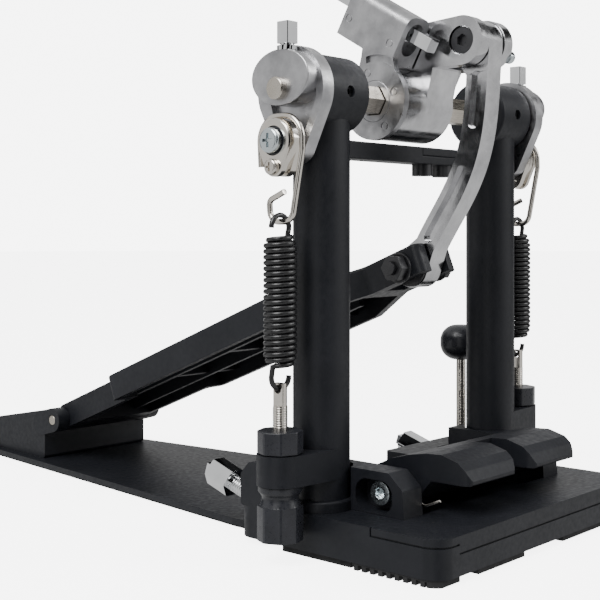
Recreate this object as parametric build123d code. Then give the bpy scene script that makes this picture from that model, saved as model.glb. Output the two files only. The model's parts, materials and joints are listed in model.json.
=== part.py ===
"""Bass drum pedal with a cast direct-drive link and a spring outside each post.

Frame: millimetres, +X to the player's right, +Y towards the drum, +Z up.
The origin is on the floor, straight below the rocker shaft, midway between the posts.
"""

from build123d import *
from math import atan2, cos, degrees, hypot, radians, sin
import os

# ---- overall layout ----
SHAFT_Z = 199.0            # height of the rocker shaft's axis
HEEL_Y = -238.0            # footboard hinge, behind the shaft
HEEL_Z = 28.0              # footboard hinge, above the floor
BASE_FRONT = 74.0          # toe block's front edge
BASE_REAR = -39.0          # toe block's rear edge
BASE_HALF = 80.0           # toe block's half width
POST_INSET = 14.0          # each post's axis, in from the toe block's side
SPRING_OUTSET = 12.0       # each spring's axis, out from the toe block's side
POST_X = BASE_HALF - POST_INSET
SPRING_X = BASE_HALF + SPRING_OUTSET
HEEL_REAR = -330.0         # rear end of the heel plate

# ---- clearances ----
RUN = 0.05                 # radial running fit of a pin or thread in its hole
GAP = 0.3                  # between faces of pieces that move past each other
WIDE_GAP = 0.7             # between the rocker's larger castings

# ---- base ----
RUBBER = 3.0               # thickness of the rubber under the toe block
BASE_TOP = 19.0            # top of the toe block's pad
CHEEK_TOP = 37.5           # top of the cheeks beside the hoop clamp
CHEEK_INSET = 18.0         # each cheek's outer face, in from the toe block's side
CHEEK_WIDE = 13.0
CHEEK_OUT = BASE_HALF - CHEEK_INSET
CHEEK_IN = CHEEK_OUT - CHEEK_WIDE
CHEEK_FRONT = 42.5
REAR_MASS_FRONT = -14.5    # raised block that carries each spur ends here
PLATE_T = 3.0              # steel plate joining the toe block and heel
PLATE_RUBBER = 1.5
PLATE_FRONT_HALF = 64.0
PLATE_REAR_HALF = 35.0
TOOTH = 4.0                # pitch of the rubber teeth
POCKET_W = 20.0            # arch-shaped pocket in each cheek
POCKET_H = 14.0
POCKET_DEEP = 8.0

# ---- posts and bearings ----
POST_R = 12.5
POST_FOOT_R = 13.9
POST_FOOT_H = 5.0
SHAFT_R = 6.0              # round journals of the shaft
HEX_AF = 2 * SHAFT_R       # hexagon between the posts
TIP_STEP = 1.2             # shoulder between the journal and the shaft's end
TIP_R = SHAFT_R - TIP_STEP
BEARING_WALL = 6.0         # bearing's section, from bore to outside
BEARING_R = SHAFT_R + BEARING_WALL
HOUSING_WALL = 5.0
HOUSING_R = BEARING_R + HOUSING_WALL
HOUSING_IN = 13.0          # housing, inward of the post's axis
HOUSING_OUT = 13.0         # housing, outward of the post's axis
SHAFT_TAIL = 4.0           # shaft's end, beyond the spring's axis
SHAFT_END = SPRING_X + SHAFT_TAIL
BEARING_W = 8.0
RING_T = 1.8
LUG_Z = 33.0
LUG_H = 13.0
LUG_R = 10.0
BRIDGE_Z = 175.4           # middle of the bridge between the posts
BRIDGE_W = 12.0
BRIDGE_T = 8.0
LAP_NEAR = 0.5             # the two halves of the bridge lap from here
LAP_FAR = -31.0            # to here
LAP_BOLTS = (-7.0, -23.5)

# ---- springs and their tension rods ----
COIL_LOW = 81.5
COIL_HIGH = 137.0
COIL_R = 7.25
WIRE = 2.3
ROD_R = 3.0
ROD_TOP = 75.5
ROD_EYE_Z = 73.0
ROD_EYE_R = 1.9
ROD_FLAT = 3.2
ROD_FLAT_LOW = 66.0
ROD_LOW = 12.0
NUT_R = 10.0
NUT_H = 9.5
KNOB_LOW = 10.0
FLATS = 8

# ---- cams and spring yokes ----
CAM_INSET = 12.2           # cam flange's inner face, in from the spring's axis
CAM_IN = SPRING_X - CAM_INSET
CAM_FLANGE_T = 6.7
CAM_BOSS_T = 6.5
CAM_PIN_DROP = 22.0        # spring yoke's pivot, below the shaft
CAM_R = 19.0
KEY_AF = 6.4               # square heads for a drum key
CAM_BOLT_UP = 16.0         # key bolt's seat, above the shaft
PIN_R = 4.0
BUSH_R = 6.3
PLATE_R = 9.5
CORE_R = 9.3
WIRE_HALF = 12.3           # spring wire's legs, out from the yoke's pivot
YOKE_WIRE_R = 1.3
YOKE_PLATE_T = 3.0
YOKE_CURL_Z = 143.2        # lowest point of the yoke wire's centre line

# ---- crank, link and beater holder ----
CRANK_Y = 36.6             # link's upper pivot
CRANK_Z = 225.4
DRUM_R = 17.5
DRUM_OUT = 26.0            # crank drum's right end
DRUM_FAR = -8.0            # crank drum's left end
CHEEK_T = 6.5
LINK_W = 11.0              # link's thickness along X
LINK_SECTION = 11.4
LINK_EYE_R = 10.5
POCKET_WIDTH = 5.4         # lightening pockets in the link's sides
TREAD_Y = 2.8              # link's lower pivot, on the footboard
TREAD_Z = 122.0
LOST = 2.12                # greatest miss between link and axle, taken up in the lower eye
EYE_SHIFT_Y = -2.09        # eye's centre from the axle's, at rest
EYE_SHIFT_Z = -0.37
AXLE_R = 3.0
PIVOT_R = 4.0
HOLDER_IN = 13.5           # beater holder's inner face
HOLDER_OUT = 30.0
HOLDER_PLATE = 3.4
ROD_TILT = 30.0            # beater rod above the horizontal, pointing back
ROD_OFFSET = 34.0          # rod's axis from the shaft's axis
BEATER_ROD_R = 4.0
BEATER_ROD_LENGTH = 192.0
ROD_START = 16.3           # along the rod, from the foot of its offset to its tail
BORE_START = 12.0          # bottom of the rod's bore
HOLDER_LONG = 36.5         # clamp block's length along the rod
HOLDER_HIGH = 42.0         # clamp block's top, out from the shaft's axis
KEY_SHANK = 5.5
KEY_SEAT = 5.0             # rod key bolt's seat, along the rod
BEATER_X = 21.5
BEATER_R = 24.0
CORE_R_BEATER = 14.0
BEATER_CORE_L = 18.0

# ---- footboard ----
BOARD_TOP = 8.2            # top face, above the line from hinge to link pivot
BOARD_T = 4.0
BOARD_SIDE_H = 14.0
BOARD_HALF = 42.0
TONGUE_HALF = 30.0
TIP_HALF = 14.0
WIDE_FROM = 63.0           # along the board, from the hinge
TAPER_FROM = 196.0
TAPER_TO = 238.0
SLOT_HALF = 6.8
HINGE_R = 3.0

# ---- hoop clamp ----
JAW_Y = 26.6
JAW_Z = 27.5
JAW_SIDE_ROOM = 5.0        # between the jaw's side and the cheek
JAW_HALF = CHEEK_IN - JAW_SIDE_ROOM
JAW_NOTCH = 6.6            # half width of the gap between the jaw's two noses
JAW_TIP_Y = 62.8
THROAT_TOP = 32.6
TAIL_Z = 20.2              # underside of the jaw's tail, which the clamp screw lifts
TAIL_T = 7.0
CLAMP_INSET = 2.5          # clamp screw, in from the toe block's left side
CLAMP_X = CLAMP_INSET - BASE_HALF
CLAMP_Y = -26.5
CLAMP_KNOB_Z = 79.0
CLAMP_R = 2.5
KNOB_R = 11.2
KNOB_HALF = 9.4            # half the knob's height

# ---- spurs ----
SPUR_INSET = 8.0           # each spur, in from the toe block's side
SPUR_X = BASE_HALF - SPUR_INSET
SPUR_R = 3.5
SPUR_TILT = 18.0
SPUR_TIP_Y = -14.0
SPUR_TIP_Z = 12.4
SPUR_LOW_Z = 6.5           # the left spur sits lower, under the jaw's tail
SPUR_NECK = 36.0           # thread's length, up to the head

PARTS = {}


def put(name, *solids):
    """Collect one node: one solid, or several separate solids of the same kind."""
    PARTS[name] = solids[0] if len(solids) == 1 else Compound(children=list(solids))


def rod_x(radius, x0, x1, y=0.0, z=0.0):
    """A round bar along X, or a hole when it is cut away."""
    return Pos((x0 + x1) / 2, y, z) * Rot(0, 90, 0) * Cylinder(radius, abs(x1 - x0))


def rod_y(radius, y0, y1, x=0.0, z=0.0):
    return Pos(x, (y0 + y1) / 2, z) * Rot(90, 0, 0) * Cylinder(radius, abs(y1 - y0))


def rod_z(radius, z0, z1, x=0.0, y=0.0):
    return Pos(x, y, (z0 + z1) / 2) * Cylinder(radius, z1 - z0)


def block(x0, x1, y0, y1, z0, z1):
    return Pos((x0 + x1) / 2, (y0 + y1) / 2, (z0 + z1) / 2) * Box(x1 - x0, y1 - y0, z1 - z0)


def slab_x(face, x0, x1):
    """Stretch a face drawn in (Y, Z) from x0 to x1."""
    return extrude(Plane.YZ.offset(x0) * face, amount=x1 - x0)


def outline(points, radius=0.0):
    """A closed face through the points, with its corners rounded."""
    face = make_face(Polyline(*points, close=True))
    return fillet(face.vertices(), radius) if radius else face


def lobe(a, ra, b, rb):
    """Two discs and the tangent lines between them."""
    dx, dy = b[0] - a[0], b[1] - a[1]
    span = hypot(dx, dy)
    base, turn = atan2(dy, dx), (ra - rb) / span
    side = (1 - turn * turn) ** 0.5
    corners = []
    for sign in (1, -1):
        nx = cos(base) * turn - sign * sin(base) * side
        ny = sin(base) * turn + sign * cos(base) * side
        ends = [(a[0] + ra * nx, a[1] + ra * ny), (b[0] + rb * nx, b[1] + rb * ny)]
        corners += ends if sign > 0 else ends[::-1]
    disc_a = Pos(a[0], a[1]) * Circle(ra)
    disc_b = Pos(b[0], b[1]) * Circle(rb)
    return make_face(Polyline(*corners, close=True)) + disc_a + disc_b


def mirrored(solid):
    return mirror(solid, about=Plane.YZ)


def key_bolt(shank, length, head=9.2):
    """Square-headed key bolt: its shoulder rests at the origin and the head points up."""
    collar = Pos(0, 0, 1.0) * Cylinder(4.4, 2.0)
    neck = Pos(0, 0, 2.5) * Cylinder(3.0, 1.4)
    square = Pos(0, 0, 3.0 + head / 2) * (Box(KEY_AF, KEY_AF, head) & Cylinder(KEY_AF * 0.68, head))
    shaft = Pos(0, 0, -length / 2) * Cylinder(shank, length)
    return shaft + collar + neck + square


def socket_bolt(shank, length, head_r, head_h):
    """Cap screw with a hexagon socket: the head rests at the origin and points up."""
    head = Pos(0, 0, head_h / 2) * Cylinder(head_r, head_h)
    socket = Pos(0, 0, head_h) * extrude(RegularPolygon(head_r * 0.5, 6), amount=-head_h * 0.6)
    return head - socket + Pos(0, 0, -length / 2) * Cylinder(shank, length)


def cross_screw(shank, length, head_r, head_h):
    """Pan-head screw with a cross recess: the head rests at the origin and points up."""
    head = Pos(0, 0, head_h / 2) * Cylinder(head_r, head_h)
    head = fillet(head.edges().group_by(Axis.Z)[-1], head_h * 0.45)
    arm = head_r * 1.1
    deep = Pos(0, 0, head_h) * (Box(arm, head_r * 0.24, head_h) + Box(head_r * 0.24, arm, head_h))
    return head - deep + Pos(0, 0, -length / 2) * Cylinder(shank, length)


def faceted(radius, z0, z1):
    """A grip with flats round it."""
    return Pos(0, 0, z0) * extrude(RegularPolygon(radius, FLATS), amount=z1 - z0)


# ---- base ----

def spur_axis(side):
    """Places a spur: its tip is at the origin and the spur stands along local +Z."""
    tip = Pos(side * SPUR_X, SPUR_TIP_Y, SPUR_TIP_Z if side > 0 else SPUR_LOW_Z)
    return tip * Rot(90 - SPUR_TILT, 0, 0)


def base_plan(shrink=0.0):
    middle = (BASE_FRONT + BASE_REAR) / 2
    return Pos(0, middle) * RectangleRounded(2 * (BASE_HALF - shrink), BASE_FRONT - BASE_REAR - 2 * shrink,
                                             9.0 - shrink)


def cheek(side):
    """Wall beside the hoop clamp, with the arch-shaped pocket for the jaw bolt's head."""
    low = BASE_TOP - 2
    profile = [(BASE_REAR + 3, low), (BASE_REAR + 3, 31.0), (-24.0, CHEEK_TOP), (34.0, CHEEK_TOP),
               (CHEEK_FRONT - 1, 31.0), (CHEEK_FRONT, low)]
    inner, outer = sorted((side * CHEEK_IN, side * CHEEK_OUT))
    wall = slab_x(outline(profile, 2.0), inner, outer)
    arch = Pos(JAW_Y - 0.6, BASE_TOP + 0.8 + POCKET_H / 2) * RectangleRounded(POCKET_W, POCKET_H, 6.0)
    near, far = sorted((side * (CHEEK_OUT - POCKET_DEEP), side * (CHEEK_OUT + 1)))
    return wall - slab_x(arch, near, far)


def rear_mass():
    """Raised corner behind the right-hand post, which the spur screws into."""
    low = BASE_TOP - 2
    profile = [(BASE_REAR + 3, low), (BASE_REAR + 3, 31.0), (-31.0, CHEEK_TOP - 1), (-20.0, CHEEK_TOP),
               (REAR_MASS_FRONT, 33.0), (REAR_MASS_FRONT, low)]
    return slab_x(outline(profile, 1.5), CHEEK_OUT - 1, BASE_HALF)


def parting_groove():
    """Shallow line round the front, between the pad and the casting's skirt."""
    line = None
    for x0, x1, z in ((67.0, BASE_HALF + 1, 15.2), (-67.0, 67.0, 11.6), (-BASE_HALF - 1, -67.0, 15.2)):
        ring = extrude(Pos(0, 0, z) * base_plan(-1.0), amount=0.8) - extrude(Pos(0, 0, z) * base_plan(0.7),
                                                                             amount=0.8)
        ring = ring & block(x0, x1, CHEEK_FRONT - 3, BASE_FRONT + 2, z, z + 0.8)
        line = ring if line is None else line + ring
    for side in (1, -1):
        x0, x1 = sorted((side * (BASE_HALF - 0.7), side * (BASE_HALF + 1)))
        line += block(x0, x1, CHEEK_FRONT - 3.8, CHEEK_FRONT - 3, 15.2, BASE_TOP + 1)
    return line


def toe_block():
    body = extrude(Pos(0, 0, RUBBER) * base_plan(), amount=BASE_TOP - RUBBER)
    body += rear_mass()
    left = cheek(-1) - block(-CHEEK_OUT - 1, -CHEEK_IN + 1, BASE_REAR, CLAMP_Y + 12, BASE_TOP, CHEEK_TOP + 1)
    body += cheek(1)
    body += left
    for side in (1, -1):
        body -= rod_z(POST_FOOT_R + RUN, BASE_TOP, CHEEK_TOP + 2, side * POST_X)
        body -= rod_z(4.1, 0, BASE_TOP + 1, side * POST_X, 0)
        body -= rod_z(6.4, 0, RUBBER + 5, side * POST_X, 0)
        body -= spur_axis(side) * Pos(0, 0, 26) * Cylinder(SPUR_R + RUN, 60)
    body -= rod_x(HINGE_R + RUN, -CHEEK_OUT, CHEEK_OUT, JAW_Y, JAW_Z)
    body -= block(-CHEEK_IN, CHEEK_IN, -14.0, CHEEK_FRONT - 1, BASE_TOP - 4.0, BASE_TOP + 1)
    for x, y in plate_screw_places():
        body -= rod_z(2.1, 0, 12, x, y)
    body -= parting_groove()
    tongue = block(-PLATE_FRONT_HALF - 1, PLATE_FRONT_HALF + 1, BASE_REAR - 1, -17.0, RUBBER - 1,
                   RUBBER + PLATE_T - 1.5)
    return body - tongue


def toe_rubber():
    """Toothed pad under the front, its block feet, and the plain strip behind it."""
    first, last = 31.0, 65.0
    pad = block(-BASE_HALF, BASE_HALF, first - 2, BASE_FRONT - 2, RUBBER - 0.8, RUBBER)
    count = 9
    for row in range(count):
        y = first + (last - first) * row / (count - 1)
        pad += block(-BASE_HALF, BASE_HALF, y - TOOTH * 0.28, y + TOOTH * 0.28, 0, RUBBER - 0.4)
    for near, far in ((16.0, 51.0), (64.0, BASE_HALF)):
        for x0, x1 in ((near, far), (-far, -near)):
            pad += block(x0, x1, last + 2.0, BASE_FRONT - 2, 0, RUBBER)
    pad = pad & extrude(base_plan(0.4), amount=RUBBER)
    strip = block(-BASE_HALF + 2, BASE_HALF - 2, -12.0, first - 4, 0, RUBBER)
    for side in (1, -1):
        strip -= rod_z(6.4, -1, RUBBER + 1, side * POST_X, 0)
    return pad, strip


def plate_face(grow=0.0):
    front, rear = PLATE_FRONT_HALF + grow, PLATE_REAR_HALF + grow
    points = [(-front, -18.0), (front, -18.0), (front, -58.0), (rear, HEEL_REAR - grow),
              (-rear, HEEL_REAR - grow),
              (-front, -58.0)]
    return fillet(make_face(Polyline(*points, close=True)).vertices(), 6.0)


def base_plate():
    plate = extrude(Pos(0, 0, PLATE_RUBBER) * plate_face(), amount=PLATE_T)
    for x, y in plate_screw_places() + heel_screw_places():
        plate -= rod_z(2.1, 0, 10, x, y)
    return plate


def plate_rubber():
    sheet = extrude(plate_face(-2.0), amount=PLATE_RUBBER)
    for x, y in plate_screw_places() + heel_screw_places():
        sheet -= rod_z(4.6, -1, 3, x, y)
    return sheet


def plate_screw_places():
    return [(x, -28.0) for x in (-44.0, 0.0, 44.0)]


def heel_screw_places():
    return [(x, y) for x in (-24.0, 24.0) for y in (-262.0, -312.0)]


def flat_screw(x, y, length):
    """Countersunk-style plate screw, put in from below."""
    return rod_z(4.0, 0.4, PLATE_RUBBER, x, y) + rod_z(2.1, PLATE_RUBBER, PLATE_RUBBER + length, x, y)


# ---- posts ----

def post():
    """Right-hand post with its bearing housing at the top and the spring lug low down."""
    column = rod_z(POST_R, BASE_TOP, SHAFT_Z, POST_X)
    column += rod_z(POST_FOOT_R, BASE_TOP, BASE_TOP + POST_FOOT_H, POST_X)
    column += rod_x(HOUSING_R, POST_X - HOUSING_IN, POST_X + HOUSING_OUT, 0, SHAFT_Z)
    arm = Pos(0, 0, LUG_Z) * extrude(lobe((POST_X, 0), POST_R, (SPRING_X, 0), LUG_R), amount=LUG_H)
    column += arm
    foot_top = BASE_TOP + POST_FOOT_H
    edges = [e for e in column.edges().filter_by(GeomType.CIRCLE) if abs(e.center().Z - foot_top) < 0.01]
    column = fillet([e for e in edges if e.radius > POST_R + 1], 1.2)
    ends = [e for e in column.edges().filter_by(GeomType.CIRCLE) if abs(e.radius - HOUSING_R) < 0.01]
    column = fillet(ends, 1.2)
    column -= rod_x(BEARING_R - RING_T, POST_X - HOUSING_IN - 1, POST_X + HOUSING_OUT + 1, 0, SHAFT_Z)
    column -= rod_x(BEARING_R, POST_X + HOUSING_OUT - BEARING_W - 1, POST_X + HOUSING_OUT + 1, 0, SHAFT_Z)
    column -= rod_y(2.5, 0, HOUSING_R + 1, POST_X, SHAFT_Z)
    column -= rod_z(ROD_R, LUG_Z - 1, LUG_Z + LUG_H + 1, SPRING_X)
    column -= rod_z(4.0, BASE_TOP - 1, BASE_TOP + 24, POST_X)
    return column


def outer_ring():
    edge = POST_X + HOUSING_OUT
    ring = rod_x(BEARING_R, edge - BEARING_W - 1, edge - 1, 0, SHAFT_Z)
    return ring - rod_x(BEARING_R - RING_T, edge - BEARING_W - 2, edge, 0, SHAFT_Z)


def inner_ring():
    edge = POST_X + HOUSING_OUT
    ring = rod_x(SHAFT_R + RING_T, edge - BEARING_W - 1, edge - 1, 0, SHAFT_Z)
    return ring - rod_x(SHAFT_R, edge - BEARING_W - 2, edge, 0, SHAFT_Z)


def bearing_balls():
    pitch = (BEARING_R - RING_T + SHAFT_R + RING_T) / 2
    ball = (BEARING_R - SHAFT_R - 2 * RING_T) / 2 - RUN
    middle = POST_X + HOUSING_OUT - 1 - BEARING_W / 2
    count = 12
    angles = [radians(360 * i / count) for i in range(count)]
    return [Pos(middle, pitch * cos(a), SHAFT_Z + pitch * sin(a)) * Sphere(ball) for a in angles]


def grub_screw():
    screw = rod_y(2.5, BEARING_R, BEARING_R + 3.2, POST_X, SHAFT_Z)
    socket = Pos(POST_X, BEARING_R + 3.2, SHAFT_Z) * Rot(90, 0, 0) * extrude(RegularPolygon(1.4, 6),
                                                                             amount=2.0)
    return screw - socket


def bridge_half(side):
    """One half of the bridge, cast with its post; the halves lap and are bolted together."""
    low, high = BRIDGE_Z - BRIDGE_T / 2, BRIDGE_Z + BRIDGE_T / 2
    half = BRIDGE_W / 2
    if side > 0:
        arm = block(LAP_NEAR, POST_X, -half, half, low, high) + block(LAP_FAR, POST_X, -half, half, low,
                                                                      BRIDGE_Z)
        hole = 2.8
    else:
        arm = block(-POST_X, LAP_FAR - 0.5, -half, half, low, high)
        arm += block(-POST_X, LAP_NEAR - 0.5, -half, half, BRIDGE_Z, high)
        hole = 2.6
    arm = fillet([e for e in arm.edges().filter_by(Axis.X) if e.length > 20], 0.8)
    for x in LAP_BOLTS:
        arm -= rod_z(hole, low - 1, high + 1, x)
    return arm


def post_with_bridge(side):
    column = post() if side > 0 else mirrored(post())
    bore = rod_z(4.0, BASE_TOP - 1, BASE_TOP + 24, side * POST_X)
    return column + bridge_half(side) - bore


def bridge_bolts():
    low = BRIDGE_Z - BRIDGE_T / 2
    return [Pos(x, 0, low) * Rot(180, 0, 0) * socket_bolt(2.6, BRIDGE_T - 0.5, 5.0, 5.5) for x in LAP_BOLTS]


# ---- tension rods, nuts and knobs ----

def tension_rod():
    rod = rod_z(ROD_R, ROD_LOW, ROD_TOP, SPRING_X)
    wide = block(SPRING_X - 5, SPRING_X + 5, -5, 5, ROD_FLAT_LOW, ROD_TOP + 1)
    rod -= wide - block(SPRING_X - ROD_FLAT / 2, SPRING_X + ROD_FLAT / 2, -5, 5, ROD_FLAT_LOW - 1,
                        ROD_TOP + 2)
    return rod - rod_x(ROD_EYE_R, SPRING_X - 5, SPRING_X + 5, 0, ROD_EYE_Z)


def lock_nut():
    low = LUG_Z + LUG_H + GAP
    nut = faceted(NUT_R, low, low + NUT_H) & rod_z(NUT_R - 0.3, low, low + NUT_H)
    return Pos(SPRING_X, 0, 0) * (nut - rod_z(ROD_R + RUN, low - 1, low + NUT_H + 1))


def tension_knob():
    top = LUG_Z - GAP
    grip = faceted(NUT_R, KNOB_LOW, KNOB_LOW + 14.5)
    grip = grip & rod_z(NUT_R - 0.3, KNOB_LOW, KNOB_LOW + 14.5)
    profile = [(0, KNOB_LOW + 14), (NUT_R - 1.0, KNOB_LOW + 14), (7.8, KNOB_LOW + 17.5),
               (7.8, KNOB_LOW + 18.5),
               (NUT_R - 0.6, top - 2.0), (NUT_R - 0.6, top), (0, top)]
    neck = revolve(Plane.XZ * make_face(Polyline(*profile, close=True)), Axis.Z)
    bore = rod_z(ROD_R + RUN, ROD_LOW - 0.5, top + 1)
    return Pos(SPRING_X, 0, 0) * (grip + neck - bore)


# ---- springs ----

def wire_loop(points, radii, wire_r):
    """Bent round wire along straight runs joined by arcs."""
    path = FilletPolyline(*points, radius=radii)
    start = Plane(origin=path @ 0, z_dir=path % 0)
    return sweep(start * Circle(wire_r), path=path)


def coil_body():
    """The coil as the tube that its turns fill, with the lower hook through the rod's eye."""
    mean = COIL_R - WIRE / 2
    tube = rod_z(COIL_R, COIL_LOW, COIL_HIGH, SPRING_X) - rod_z(COIL_R - WIRE, COIL_LOW - 1, COIL_HIGH + 1,
                                                                SPRING_X)
    top = COIL_LOW + 2
    points = [(SPRING_X - mean, 0, top), (SPRING_X - mean, 0, ROD_EYE_Z), (SPRING_X + mean, 0, ROD_EYE_Z),
              (SPRING_X + mean, 0, top)]
    return tube + wire_loop(points, [mean - 0.05, mean - 0.05], WIRE / 2)


def upper_hook():
    mean = COIL_R - WIRE / 2
    low = COIL_HIGH + GAP
    high = YOKE_CURL_Z + YOKE_WIRE_R + WIRE / 2 + GAP
    points = [(SPRING_X - mean, 0, low), (SPRING_X - mean, 0, high), (SPRING_X + mean, 0, high),
              (SPRING_X + mean, 0, low)]
    return wire_loop(points, [mean - 0.05, mean - 0.05], WIRE / 2)


# ---- cams and spring yokes ----

def cam():
    face, step = CAM_IN + CAM_FLANGE_T, CAM_IN + CAM_FLANGE_T + CAM_BOSS_T
    drop = SHAFT_Z - CAM_PIN_DROP
    body = slab_x(lobe((0.3, SHAFT_Z), CAM_R, (0.4, drop), 9.2), CAM_IN, face)
    body -= slab_x(lobe((2.0, SHAFT_Z - 1.5), CAM_R - 5.6, (0.4, drop + 3), 7.2), face - 3.0, face + 1)
    boss = slab_x(Pos(0.3, SHAFT_Z + 4.8) * Ellipse(16.5, 11.9), CAM_IN, step)
    boss = fillet(boss.edges().group_by(Axis.X)[-1], 0.6)
    body += boss
    body += rod_x(PIN_R + 2.5, CAM_IN, face, 0, drop)
    body -= rod_x(TIP_R, CAM_IN - 1, step + 1, 0, SHAFT_Z)
    body -= rod_x(PIN_R - 1, CAM_IN + 1, face + 1, 0, drop)
    middle = (face + step) / 2
    body -= rod_z(4.6, SHAFT_Z + CAM_BOLT_UP, SHAFT_Z + 30, middle, 2.0)
    return body - rod_z(3.0, SHAFT_Z + TIP_R + 1, SHAFT_Z + 30, middle, 2.0)


def cam_bolt():
    middle = CAM_IN + CAM_FLANGE_T + CAM_BOSS_T / 2
    seat = SHAFT_Z + CAM_BOLT_UP
    return Pos(middle, 2.0, seat) * key_bolt(3.0, seat - SHAFT_Z - TIP_R - 1.2)


def cam_pin():
    """Shoulder screw on which the spring yoke swings."""
    face = CAM_IN + CAM_FLANGE_T
    end = yoke_out() + GAP
    head = Pos(end, 0, SHAFT_Z - CAM_PIN_DROP) * Rot(0, 90, 0) * cross_screw(PIN_R, end - face,
                                                                             BUSH_R - 0.9, 3.0)
    return head + rod_x(PIN_R - 1, CAM_IN + 1, face, 0, SHAFT_Z - CAM_PIN_DROP)


def yoke_in():
    return CAM_IN + CAM_FLANGE_T + WIDE_GAP


def yoke_out():
    return SPRING_X + YOKE_WIRE_R + GAP / 3 + YOKE_PLATE_T


def yoke_block():
    """Pear-shaped carrier: two plates with a narrower core that the wire bends over."""
    pivot = SHAFT_Z - CAM_PIN_DROP
    low = pivot - 9.5
    wire_low, wire_high = SPRING_X - YOKE_WIRE_R - GAP / 3, SPRING_X + YOKE_WIRE_R + GAP / 3
    rear = slab_x(lobe((0, pivot), PLATE_R - 0.4, (0, low), 5.4), yoke_in(), wire_low)
    core = slab_x(lobe((0, pivot), CORE_R - GAP / 3, (0, low), 4.0), wire_low, wire_high)
    front = slab_x(lobe((0, pivot), PLATE_R, (0, low), 5.6), wire_high, yoke_out())
    front = chamfer(front.edges().group_by(Axis.X)[-1], 0.6)
    body = rear + core + front
    body -= rod_x(BUSH_R, yoke_in() - 1, yoke_out() + 1, 0, pivot)
    return body - rod_x(1.6, yoke_in() - 1, yoke_out() + 1, 0, low - 1.5)


def yoke_bush():
    pivot = SHAFT_Z - CAM_PIN_DROP
    ring = rod_x(BUSH_R, yoke_in(), yoke_out() - 0.4, 0, pivot)
    return ring - rod_x(PIN_R + RUN, yoke_in() - 1, yoke_out() + 1, 0, pivot)


def yoke_screw():
    low = SHAFT_Z - CAM_PIN_DROP - 11.0
    length = yoke_out() - yoke_in() - 0.5
    return Pos(yoke_out(), 0, low) * Rot(0, 90, 0) * cross_screw(1.6, length, 3.4, 2.4)


def yoke_wire():
    """Wire over the carrier, its long leg ending in the curl that holds the spring."""
    pivot = SHAFT_Z - CAM_PIN_DROP
    bend = CORE_R + YOKE_WIRE_R
    curl = YOKE_CURL_Z
    flat = [(-WIRE_HALF + 1.2, pivot - 10.5), (-WIRE_HALF, pivot + bend), (WIRE_HALF, pivot + bend),
            (WIRE_HALF + 0.4, pivot - 4.0), (6.8, curl), (-5.6, curl), (-6.2, curl + 9.0), (2.6, curl + 12.6)]
    points = [(SPRING_X, y, z) for y, z in flat]
    return wire_loop(points, [bend - 0.3, bend - 0.3, 3.0, 5.2, 5.0, 2.6], YOKE_WIRE_R)


# ---- rocker ----

def hex_shaft():
    half = POST_X - HOUSING_IN + 2
    hexagon = Plane.YZ.offset(-half) * Pos(0, SHAFT_Z) * RegularPolygon(HEX_AF / 2, 6, major_radius=False)
    shaft = extrude(hexagon, amount=2 * half)
    journal = POST_X + HOUSING_OUT + GAP
    shaft += rod_x(SHAFT_R, -journal, journal, 0, SHAFT_Z)
    shaft += rod_x(TIP_R, -SHAFT_END, SHAFT_END, 0, SHAFT_Z)
    return chamfer(shaft.edges().group_by(Axis.X)[-1] + shaft.edges().group_by(Axis.X)[0], 0.6)


def hex_cut(x0, x1, grow=0.0):
    hexagon = Plane.YZ.offset(x0) * Pos(0, SHAFT_Z) * RegularPolygon(HEX_AF / 2 + grow, 6, major_radius=False)
    return extrude(hexagon, amount=x1 - x0)


def cheek_outline(near):
    """One of the two walls that carry the link; the far one meets the drum higher up."""
    upper = lobe((CRANK_Y, CRANK_Z), 11.2, (15.0, CRANK_Z - 0.6), 10.4)
    drum, radius = ((0, SHAFT_Z), DRUM_R - 1) if near else ((5.0, SHAFT_Z + 8), 9.0)
    return upper + lobe((14.0, CRANK_Z - 2.0), 8.8, drum, radius)


def crank():
    """Crank drum on the hexagon, with the two cheeks that carry the link."""
    inner = LINK_W / 2 + WIDE_GAP
    outer = inner + CHEEK_T
    body = rod_x(DRUM_R, DRUM_FAR, DRUM_OUT, 0, SHAFT_Z)
    body += slab_x(cheek_outline(True), DRUM_FAR, outer)
    body += slab_x(cheek_outline(False), -outer, -inner + 2)
    body -= slab_x(lobe((CRANK_Y, CRANK_Z), LINK_EYE_R + 3, (CRANK_Y + 12, CRANK_Z - 70), LINK_EYE_R + 3),
                   -inner, inner)
    body -= rod_x(PIVOT_R, -outer - 1, outer + 1, CRANK_Y, CRANK_Z)
    body -= rod_x(6.6, outer - 4.2, outer + 1, CRANK_Y, CRANK_Z)
    body -= Pos(-outer, CRANK_Y + 7.5, CRANK_Z - 5.5) * Rot(0, 90, 0) * Cylinder(1.6, 8)
    return body - hex_cut(-outer - 1, DRUM_OUT + 1)


def round_marks():
    """Round moulding marks on the holder's plate, as (Y, Z)."""
    return [(-14.9, 239.0), (9.2, 224.7), (-3.7, 212.2), (12.0, 202.7), (6.4, 187.2)]


def pivot_bolt():
    inner = LINK_W / 2 + WIDE_GAP
    seat = inner + CHEEK_T - 4.2
    bolt = Pos(seat, CRANK_Y, CRANK_Z) * Rot(0, 90, 0) * socket_bolt(PIVOT_R, seat + inner + CHEEK_T - 0.5,
                                                                     6.0, 3.4)
    return bolt


def cheek_screw():
    """Small domed set screw in the left cheek."""
    outer = LINK_W / 2 + WIDE_GAP + CHEEK_T
    place = (CRANK_Y + 7.5, CRANK_Z - 5.5)
    head = Pos(-outer - 2.2, *place) * Rot(0, 90, 0) * Cylinder(3.0, 4.4)
    head = fillet(head.edges().group_by(Axis.X)[0], 1.6)
    return head + rod_x(1.6, -outer, -outer + 3.4, *place)


# ---- link ----

LINK_CENTRE = [(40.3, 212.0), (38.6, 192.0), (36.0, 178.5), (30.0, 163.0), (20.5, 147.5), (10.5, 132.0)]


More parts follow.
